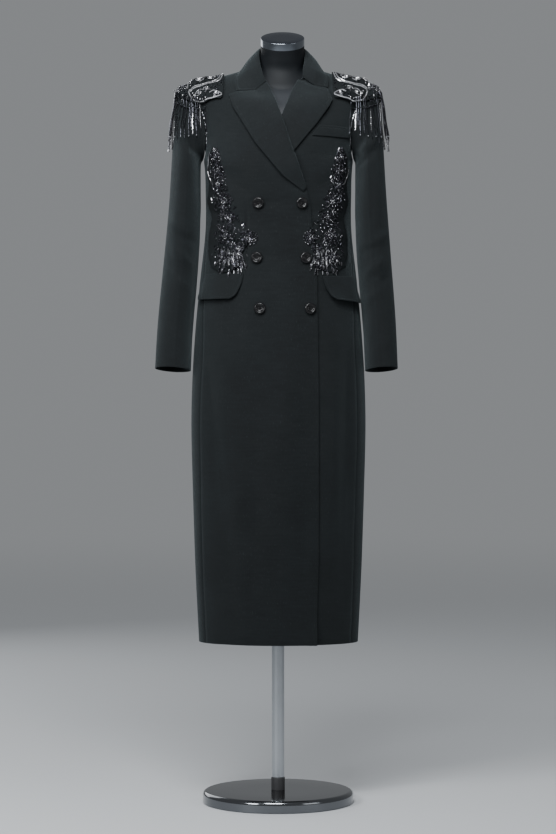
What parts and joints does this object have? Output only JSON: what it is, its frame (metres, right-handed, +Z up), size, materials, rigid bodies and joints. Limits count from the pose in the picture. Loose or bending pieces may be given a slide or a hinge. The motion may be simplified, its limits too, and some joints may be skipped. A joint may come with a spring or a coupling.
{
  "type": "double-breasted maxi coat on a limbless dress form with a round stand",
  "caption": "Long double-breasted wool coat with peak lapels, beaded side vines and fringed epaulettes, standing on a limbless dress form with a pole and a round base.",
  "frame": {"origin": "centre of the base disc's underside, on the floor", "axes": "+Z up along the pole, the coat's front faces -Y, +X towards the wearer's left"},
  "size_m": [0.5474, 0.34, 1.7337],
  "materials": {
    "black_wool": "matt brushed wool",
    "black_horn": "polished",
    "dark_beads": "glass beads on net",
    "silver_beads": "silvered beads",
    "form_gloss": "gloss lacquer",
    "cap_steel": "polished",
    "pole_steel": "satin",
    "foot_rubber": "matt",
    "base_chrome": "dark polished"
  },
  "bodies": {
    "root": {"front_right": "black_wool", "front_left": "black_wool", "back": "black_wool", "sleeve_right": "black_wool", "sleeve_left": "black_wool", "undersleeve_right": "black_wool", "undersleeve_left": "black_wool", "lapel_right": "black_wool", "lapel_left": "black_wool", "collar": "black_wool", "flap_right": "black_wool", "flap_left": "black_wool", "breast_welt": "black_wool", "button_1": "black_horn", "button_2": "black_horn", "button_3": "black_horn", "button_4": "black_horn", "button_5": "black_horn", "button_6": "black_horn", "beading_right": "dark_beads", "beading_left": "dark_beads", "epaulette_right": "silver_beads", "epaulette_left": "silver_beads", "fringe_right": "silver_beads", "fringe_left": "silver_beads", "form_torso": "form_gloss", "neck_cap": "cap_steel", "pole": "pole_steel", "pole_collar": "foot_rubber", "base_disc": "base_chrome"}
  },
  "joints": []
}
